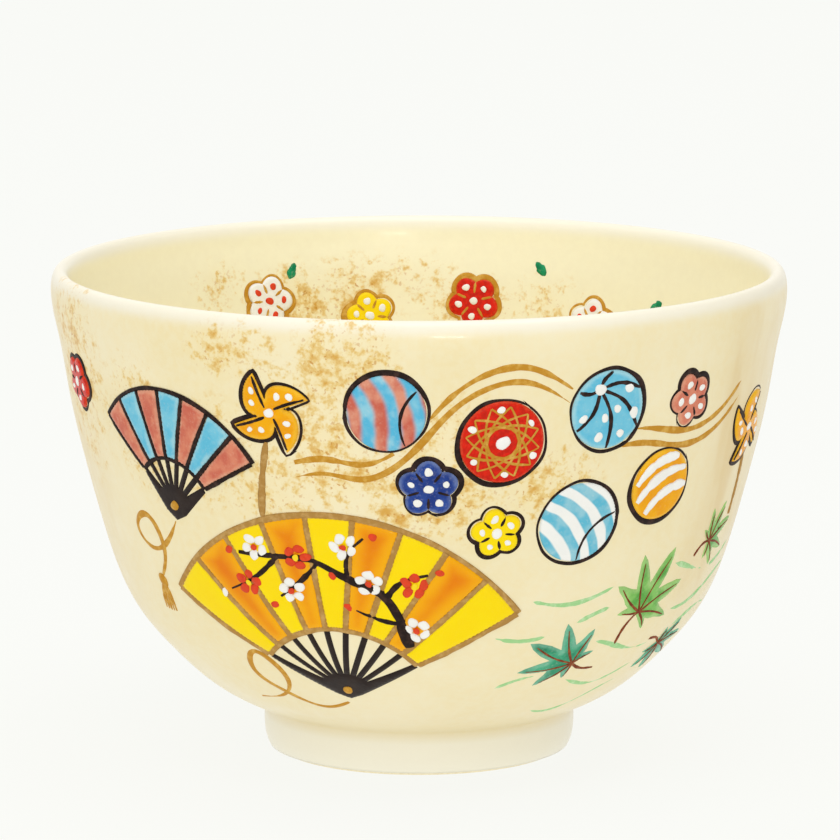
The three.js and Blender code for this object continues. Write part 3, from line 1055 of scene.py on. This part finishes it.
class Motif(Spot):
    """One pad with its drawing: a unit outline sized and placed by its CAD node."""

    def __init__(self, node, wall, outline, paint, thickness=PAD_THICKNESS):
        self.size, turn, along = seat_on(wall, node, outline)
        super().__init__(wall, turn, along)
        self.outline = outline * self.size
        self.thickness = thickness
        PAINTED.append((self, self.outline))
        self.pad(node, self.outline, paint, thickness)

    def border(self, paint="outline", width=OUTLINE_WIDTH):
        """A line round the pad that presses harder on one side, strays off it and overruns its start."""
        edge = divided(self.outline, STROKE_STEP)
        edge = np.roll(edge, -rng.integers(len(edge)), axis=0)
        share = np.arange(len(edge)) / len(edge)
        gap = wander(share, *OUTLINE_GAP)
        pressed = 1 + OUTLINE_PRESS * np.cos(math.tau * (share - rng.random()))
        widths = width * pressed * wander(share, *OUTLINE_WAVER)
        away = outward(edge)
        line = edge + away * gap[:, None]
        extra = round(OVERRUN / STROKE_STEP)
        widths[:extra] *= np.linspace(OVERRUN_ENDS[0], 1, extra)
        drift = OVERRUN_DRIFT * (np.arange(extra) / extra) ** 1.6
        whole = np.vstack([line, line[:extra] + away[:extra] * drift[:, None]])
        widths = np.append(widths, widths[extra] * np.linspace(1, OVERRUN_ENDS[1], extra))
        flat = np.column_stack([whole, np.zeros(len(whole))])
        BRUSHES[self.wall, "strokes", paint].keep(self, flat, widths)

    def line(self, points, paint="outline", width=FINE_WIDTH, taper=0.6):
        """A line on the pad's face through points of unit size."""
        drawn = smooth_run(np.asarray(points, float) * self.size, STROKE_STEP)
        self.stroke(paint, drawn, width, lift_on(self.outline, drawn, self.thickness), taper)

    def dots(self, points, width, paint="white"):
        """Raised dots on the pad's face at points of unit size."""
        drawn = np.asarray(points, float) * self.size
        for point, lift in zip(drawn, lift_on(self.outline, drawn, self.thickness)):
            self.dot(paint, point, width * rng.uniform(*DOT_WAVER), lift)


# The motifs, with unit outlines as in the frame but finer

def ball():
    return polar(1, np.arange(0, 360, 5))


def blossom(start):
    degrees = np.arange(0, 360, 3)
    return polar(0.74 + 0.26 * np.abs(np.cos(np.radians(2.5 * degrees))), start + degrees)


def pinwheel(start):
    sweep = smooth_run([(0, 1), (0.2, 0.9), (0.48, 0.74), (0.78, 0.56), (0.97, 0.34)], 0.06)
    return np.vstack([polar(sweep[:, 1], start + 90 * (blade + sweep[:, 0])) for blade in range(4)])


# Each lobe's bearing and reach, and its outline's swing about it with a share of that reach
LOBES = [(-128, 0.5), (-84, 0.78), (-42, 0.94), (0, 1.06), (42, 0.94), (84, 0.78), (128, 0.5)]
LOBE_OUTLINE = [(-12, 0.62), (-5, 0.86), (0, 1), (5, 0.86), (12, 0.62)]


def maple_leaf(start):
    points = []
    for i, (bearing, reach) in enumerate(LOBES):
        points += [polar(share * reach, start + bearing + swing) for swing, share in LOBE_OUTLINE]
        if i < len(LOBES) - 1:
            points.append(polar(0.4, start + (bearing + LOBES[i + 1][0]) / 2))
    points.append(polar(0.16, start + 180))
    return np.array(points)


def arc_across(lean, bow, offset, reach=0.96):
    """A bowed line across the unit circle, offset from its centre, leaning by an angle in degrees."""
    half = math.sqrt(reach ** 2 - offset ** 2)
    share = np.linspace(-1, 1, 9)
    flat = np.stack([offset + bow * (share ** 2 - 1) * half, share * half], axis=1)
    turn = math.radians(lean)
    spin = np.array([[math.cos(turn), -math.sin(turn)], [math.sin(turn), math.cos(turn)]])
    return flat @ spin.T


def striped_ball(node, paint, lean):
    """A ball with soft bowed stripes and the edge of a second gore."""
    motif = Motif(node, OUTSIDE, ball(), paint)
    motif.border()
    motif.line(arc_across(lean, 0.35, 0.62))


def thread_ball(node, lean):
    """A red ball wound with gold threads that cross in a star."""
    motif = Motif(node, OUTSIDE, ball(), "red")
    motif.border()
    for k in range(6):
        for bow in (-0.42, 0.42):
            motif.line(arc_across(lean + 30 * k, bow, 0.0, 0.88), "gold", FINE_WIDTH * 0.8, 0.3)
    motif.dots(polar(0.8, lean + 15 + np.arange(0, 360, 60)), 1.1 * MM)
    motif.dots([(0, 0)], 2.0 * MM)


def paper_ball(node, paint, lean):
    """A ball pieced from gores that meet at its top, with raised dots."""
    motif = Motif(node, OUTSIDE, ball(), paint)
    motif.border()
    top = polar(0.62, lean)
    for bearing in np.arange(0, 360, 60):
        motif.line(bowed(top, polar(0.97, lean + bearing + 30), 0.14), width=FINE_WIDTH * 1.3, taper=0.3)
    motif.dots([top], 1.8 * MM)
    motif.dots(polar(0.72, lean + np.array([75, 130, 180, 230, 285])), 1.6 * MM)
    motif.dots(polar(0.22, lean + np.array([120, 240])), 1.4 * MM)


def ribbed_ball(node, lean):
    """An amber ball with raised white stripes."""
    motif = Motif(node, OUTSIDE, ball(), "amber")
    motif.border()
    for offset in (-0.48, 0.0, 0.48):
        motif.line(arc_across(lean, 0.3, offset, 0.9), "white", 1.7 * MM, 0.5)


def plum_blossom(node, wall, start, paint, border="outline", border_width=OUTLINE_WIDTH, dots="white"):
    """Five petals with parting lines, stamens and a raised centre."""
    motif = Motif(node, wall, blossom(start), paint)
    motif.border(border, border_width)
    for petal in range(5):
        notch = start + 36 + 72 * petal
        motif.line([polar(0.32, notch), polar(0.72, notch)], border, FINE_WIDTH * 0.9)
    motif.dots(polar(0.6, start + 72 * np.arange(5)), 1.2 * MM, dots)
    motif.dots([(0, 0)], 1.5 * MM, dots)


def paper_pinwheel(node, start):
    """Four folded blades on a hub, with raised dots."""
    motif = Motif(node, OUTSIDE, pinwheel(start), "amber")
    motif.border()
    for blade in range(4):
        lead = start + 90 * blade
        motif.line([polar(0.16, lead + 20), polar(0.5, lead + 8), polar(0.93, lead + 3)], taper=0.4)
        motif.dots(polar(np.array([0.66, 0.46]), lead + np.array([19, 42])), 1.1 * MM)
    motif.dots([(0, 0)], 1.8 * MM)


def veined_leaf(node, start, paint):
    """A maple leaf with a vein in each lobe and a stalk."""
    motif = Motif(node, OUTSIDE, maple_leaf(start), paint, LEAF_THICKNESS)
    root = polar(0.1, start + 180)
    for bearing, reach in LOBES:
        vein = bowed(root, polar(0.84 * reach, start + bearing), 0.05)
        motif.line(vein, "vein", (FINE_WIDTH, FINE_WIDTH * 0.5), 0.4)
    stalk = [root, polar(0.42, start + 174), polar(0.72, start + 186)]
    motif.line(stalk, "vein", (FINE_WIDTH, FINE_WIDTH * 1.3), 0.3)


class Fan(Spot):
    """A folding fan in the frame's own sizes. Its pivot is at (0, 0), and its pleats fill start to end."""

    def __init__(self, node, pleats, start, end, inner, outer, paints):
        self.node = node
        self.pleats = pleats
        self.start = start
        self.step = (end - start) / pleats
        self.inner = inner * MM
        self.outer = outer * MM
        self.paints = paints
        self.sweep = np.linspace(start, self.fold(pleats), ARC_POINTS)
        self.sticks = self.sticks_outline()
        _, turn, along = seat_on(OUTSIDE, node + "_sticks", self.sticks)
        super().__init__(OUTSIDE, turn, along)

    def fold(self, i):
        """A fold's bearing in degrees."""
        return self.start + self.step * i

    def sticks_outline(self):
        """The sticks as one comb, spreading from the pivot."""
        reach = self.inner - FAN_GAP
        spread = math.degrees(HALF_STICK / reach)
        notch = HALF_STICK / math.sin(math.radians(self.step / 2))
        points = []
        for i in range(self.pleats + 1):
            points += [polar(reach, self.fold(i) - spread), polar(reach, self.fold(i) + spread)]
            if i < self.pleats:
                points.append(polar(notch, self.fold(i) + self.step / 2))
        back = self.fold(self.pleats)
        rest = 360 - self.step * self.pleats
        points += [polar(PIVOT_RADIUS, back + share * rest) for share in (0.25, 0.5, 0.75)]
        return np.array(points)

    def leaf_outline(self):
        """The whole leaf of the fan, over all its pleats."""
        edge = FAN_GAP / 2
        return np.vstack([polar(self.outer + edge, self.sweep), polar(self.inner - edge, self.sweep[::-1])])

    def pleat_outline(self, i):
        near, far = (math.degrees(FAN_GAP / 2 / radius) for radius in (self.inner, self.outer))
        across = np.linspace(0, 1, 7)
        foot = polar(self.inner, self.fold(i) + near + across * (self.step - 2 * near))
        head = polar(self.outer, self.fold(i) + far + across * (self.step - 2 * far))
        return np.vstack([head, foot[::-1]])

    def draw(self, seam_paint, seam_width):
        """Lays the pleats and sticks, and runs lines along the folds and round the leaf."""
        for i in range(self.pleats):
            paint = self.paints[i % len(self.paints)]
            self.pad(f"{self.node}_pleat_{i + 1}", self.pleat_outline(i), paint)
        self.pad(self.node + "_sticks", self.sticks, "black", LEAF_THICKNESS)
        PAINTED.append((self, self.leaf_outline()))
        PAINTED.append((self, self.sticks))
        for i in range(self.pleats + 1):
            ends = np.array([polar(self.inner, self.fold(i)), polar(self.outer, self.fold(i))])
            self.stroke(seam_paint, ends, seam_width, SEAM_LIFT)
        for radius in (self.inner - FAN_GAP / 2, self.outer + FAN_GAP / 2):
            self.stroke(seam_paint, polar(radius, self.sweep), seam_width * 1.1, SEAM_LIFT / 2)
        self.dot("gold", (0, RIVET_OFFSET), RIVET_WIDTH, LEAF_THICKNESS)

    def lift(self, points):
        """How high the leaf's face lies under each point, down to the seams between its pleats."""
        faces = [lift_on(self.pleat_outline(i), points) for i in range(self.pleats)]
        return np.maximum(np.max(faces, axis=0), 1.4 * SEAM_LIFT)

    def paint_twig(self, places, widths):
        """A dark twig over the leaf, through places given as reach in millimetres and bearing in degrees."""
        drawn = smooth_run([polar(reach * MM, bearing) for reach, bearing in places], STROKE_STEP)
        self.stroke("outline", drawn, np.multiply(widths, MM), self.lift(drawn), 0.2)

    def paint_blossom(self, reach, bearing, lean, petal, heart):
        """A small blossom of five raised petals round a heart."""
        centre = polar(reach * MM, bearing)
        petals = centre + polar(BLOSSOM_REACH, lean + 72 * np.arange(5))
        for point, lift in zip(petals, self.lift(petals)):
            self.dot(petal, point, BLOSSOM_PETAL, lift)
        self.dot(heart, centre, BLOSSOM_PETAL * 0.6, self.lift(centre[None])[0] + HEART_LIFT)

    def paint_bud(self, reach, bearing, paint):
        place = polar(reach * MM, bearing)
        self.dot(paint, place, BLOSSOM_PETAL * 0.8, self.lift(place[None])[0])


def tassel(degrees, height, lean):
    """A cord's tassel: a knot and a sheaf of threads."""
    spot = spot_at(OUTSIDE, degrees, height)
    spot.dot("gold", (0, 0), KNOT_WIDTH, KNOT_LIFT)
    for k in range(-2, 3):
        places = [(0, 0), polar(TASSEL_LENGTH / 2, lean + 11 * k), polar(TASSEL_LENGTH, lean + 7 * k)]
        spot.stroke("gold", smooth_run(places, STROKE_STEP), FINE_WIDTH * 1.2, taper=0.4)


def dab(degrees, height, lean):
    """One short press of an emerald brush inside the bowl."""
    line = np.array([polar(-DAB_LENGTH / 2, lean), polar(DAB_LENGTH / 2, lean)])
    spot_at(INSIDE, degrees, height).stroke("emerald", line, DAB_WIDTH, taper=0.8)


def stream_line(start, end, height, phase):
    """A rippling line of water between two bearings, rising a little to the right."""
    places = []
    for degrees in np.arange(start, end, STREAM_STEP):
        ripple = RIPPLE_HEIGHT * math.sin(math.radians(RIPPLES_ROUND * degrees + phase))
        places.append((degrees, height + ripple + STREAM_RISE * (degrees - STREAM_MIDDLE)))
    wall_line(OUTSIDE, places, "stream", STREAM_WIDTHS, 0.7)


# The decoration

large_fan = Fan("large_fan", 9, 30, 147, 14.5, 34, ("yellow", "orange"))
large_fan.draw("seam", 1.0 * MM)
small_fan = Fan("small_fan", 7, 28, 136, 8.5, 19.5, ("salmon", "sky"))
small_fan.draw("outline", 0.7 * MM)

# A plum branch in bloom over the large fan: twigs with their widths in millimetres, then blossoms and buds
for places, widths in (
        ([(16.4, 44), (19.5, 56), (22.6, 68), (23.8, 82), (26.4, 94), (28.2, 108), (30.8, 119)], (1.9, 0.7)),
        ([(22.0, 66), (25.4, 64), (29.2, 57)], (1.1, 0.45)),
        ([(23.8, 82), (27.4, 83), (31.4, 78.5)], (1.0, 0.45)),
        ([(26.2, 93), (23.2, 101), (21.4, 112)], (1.1, 0.45)),
        ([(28.0, 107), (26.0, 117), (26.4, 130)], (1.0, 0.4)),
        ([(19.2, 55), (18.2, 66), (18.6, 77)], (0.9, 0.4))):
    large_fan.paint_twig(places, widths)
for bloom in (
        (26.4, 59, 10, "red", "yellow"), (29.4, 84, 40, "white", "red"), (23.9, 74, 20, "white", "red"),
        (27.4, 100, 0, "red", "yellow"), (21.9, 106, 30, "white", "red"), (30.6, 113, 50, "white", "red"),
        (25.6, 122, 15, "red", "yellow"), (19.8, 48, 35, "white", "red")):
    large_fan.paint_blossom(*bloom)
for bud in ((30.6, 54.5, "red"), (32.0, 76, "red"), (20.4, 117, "red"), (26.8, 134, "white"),
            (18.8, 81, "red"), (31.9, 122, "red"), (24.2, 88, "red")):
    large_fan.paint_bud(*bud)

striped_ball("ball_striped", "salmon_sky", -12)
thread_ball("ball_red", 20)
paper_ball("ball_sky", "sky", 120)
ribbed_ball("ball_gold_stripe", -62)
striped_ball("ball_pale_stripe", "sky_white", -38)
thread_ball("ball_back", 5)

for name, start, paint in (("navy", 18, "navy"), ("gold", 30, "yellow"), ("salmon", 40, "salmon"),
                           ("red", 60, "red"), ("back", 10, "salmon")):
    plum_blossom("blossom_" + name, OUTSIDE, start, paint)
paper_pinwheel("pinwheel_front", 20)
paper_pinwheel("pinwheel_side", 55)
for name, start, paint in (
        ("green_large", 62, "green"), ("teal_large", 150, "teal"), ("teal_small", 330, "teal"),
        ("green_small", 20, "green"), ("green_back", 40, "green"), ("teal_back", 250, "teal")):
    veined_leaf("leaf_" + name, start, paint)
for name, start, paint, dots in (("white", 0, "white", "red"), ("gold", 30, "yellow", "white"),
                                 ("red", 50, "red", "white"), ("pale", 14, "white", "red")):
    plum_blossom("inner_blossom_" + name, INSIDE, start, paint, "gold", GOLD_WIDTH * 0.7, dots)

# Gold cords on the fans' pivots, one with a tassel, the pinwheels' sticks and a ribbon behind the balls
wall_line(OUTSIDE, [(-17, 15), (-24, 13.6), (-33, 16), (-38, 20), (-35, 23.5), (-30.5, 20.5), (-35, 15),
                    (-43, 14)], "gold", GOLD_WIDTH)
wall_line(OUTSIDE, [(-45.5, 45), (-49, 41), (-55, 39), (-58, 42), (-54.5, 44.5), (-51, 40), (-54, 34)],
          "gold", GOLD_WIDTH)
tassel(-54, 33.5, -96)
for stick in ([(-23.5, 64.5), (-25, 58), (-26.5, 50), (-27, 44)], [(68, 57), (70, 50), (70.5, 42), (70, 36)]):
    wall_line(OUTSIDE, stick, "seam", GOLD_WIDTH, lift=0.0)
for shift in (0, 2.4):
    for ribbon in ([(-20, 54.4), (-15, 55.2), (-9, 54.5), (-1, 59), (6, 66.5), (16, 70), (24, 66)],
                   [(30, 58), (38, 58.4), (48, 57), (57, 59.5), (62, 63)]):
        wall_line(OUTSIDE, [(degrees, height + shift) for degrees, height in ribbon], "gold", GOLD_WIDTH)

# A stream under the leaves
for k, (start, end, height) in enumerate([(20, 82, 35), (14, 88, 29.5), (24, 84, 24), (16, 70, 18.5),
                                          (30, 62, 13.8)]):
    stream_line(start, end, height, RIPPLE_SHIFT * k)

for place in ((203, 71.2, 65), (133, 67.2, 30), (158, 71.5, -50)):
    dab(*place)

for brush in BRUSHES.values():
    brush.lay()


# The floor, light and camera

def floor():
    """A pale floor that glows a little, as an evenly lit sweep does, so that shadows stay faint."""
    mesh = bpy.data.meshes.new("floor")
    mesh.from_pydata([(x, y, 0) for x, y in FLOOR_HALF * np.array([(-1, -1), (1, -1), (1, 1), (-1, 1)])],
                     [], [(0, 1, 2, 3)])
    piece = bpy.data.objects.new("floor", mesh)
    scene.collection.objects.link(piece)
    material, tree, shader, _ = new_material("pale_floor")
    plug(tree, shader, {"Base Color": (0.1, 0.1, 0.1, 1), "Roughness": 1.0, "Specular IOR Level": 0.0,
                        "Emission Color": tone("fbfcf8"), "Emission Strength": FLOOR_GLOW})
    mesh.materials.append(material)


def softbox(name, bearing, rise, distance, size, power):
    """A soft light aimed at the bowl, from a bearing to the right of the camera and a rise off the floor."""
    lamp = bpy.data.lights.new(name, "AREA")
    lamp.shape = "RECTANGLE"
    lamp.size, lamp.size_y = size
    lamp.energy = power
    turn, climb = math.radians(bearing), math.radians(rise)
    away = Vector((math.sin(turn) * math.cos(climb), -math.cos(turn) * math.cos(climb), math.sin(climb)))
    holder = bpy.data.objects.new(name, lamp)
    holder.location = DISTANCE_FROM + distance * away
    holder.rotation_euler = (-away).to_track_quat("-Z", "Y").to_euler()
    holder.visible_camera = False
    scene.collection.objects.link(holder)


def studio():
    """A white sky, dimmer to the left and right, with a soft key light above and a small window in front."""
    world = bpy.data.worlds.new("studio")
    world.use_nodes = True
    tree = world.node_tree
    rightward = parts(tree, add(tree, "ShaderNodeTexCoord").outputs["Generated"])["X"]
    sideways = calc(tree, "ABSOLUTE", calc(tree, "ADD", rightward, SKY_SHIFT))
    plug(tree, tree.nodes["Background"], {
        "Color": tone("fdfdfb"), "Strength": ramp(tree, sideways, 0.3, 0.95, SKY_GLOW, SIDE_GLOW)})
    scene.world = world
    softbox("key", bearing=30, rise=78, distance=1.6, size=(1.4, 1.0), power=7.8)
    softbox("small_window", bearing=8.6, rise=6, distance=1.0, size=(0.17, 0.05), power=0.62)
    scene.view_settings.view_transform = "Standard"


def camera():
    lens = bpy.data.cameras.new("camera")
    lens.lens = LENS_MM
    lens.sensor_width = SENSOR_MM
    lens.clip_end = 20
    holder = bpy.data.objects.new("camera", lens)
    back = Vector((0, -math.cos(CAMERA_RISE), math.sin(CAMERA_RISE)))
    holder.location = DISTANCE_FROM + CAMERA_DISTANCE * back
    holder.rotation_euler = (AIM - holder.location).to_track_quat("-Z", "Y").to_euler()
    scene.collection.objects.link(holder)
    scene.camera = holder


floor()
studio()
camera()
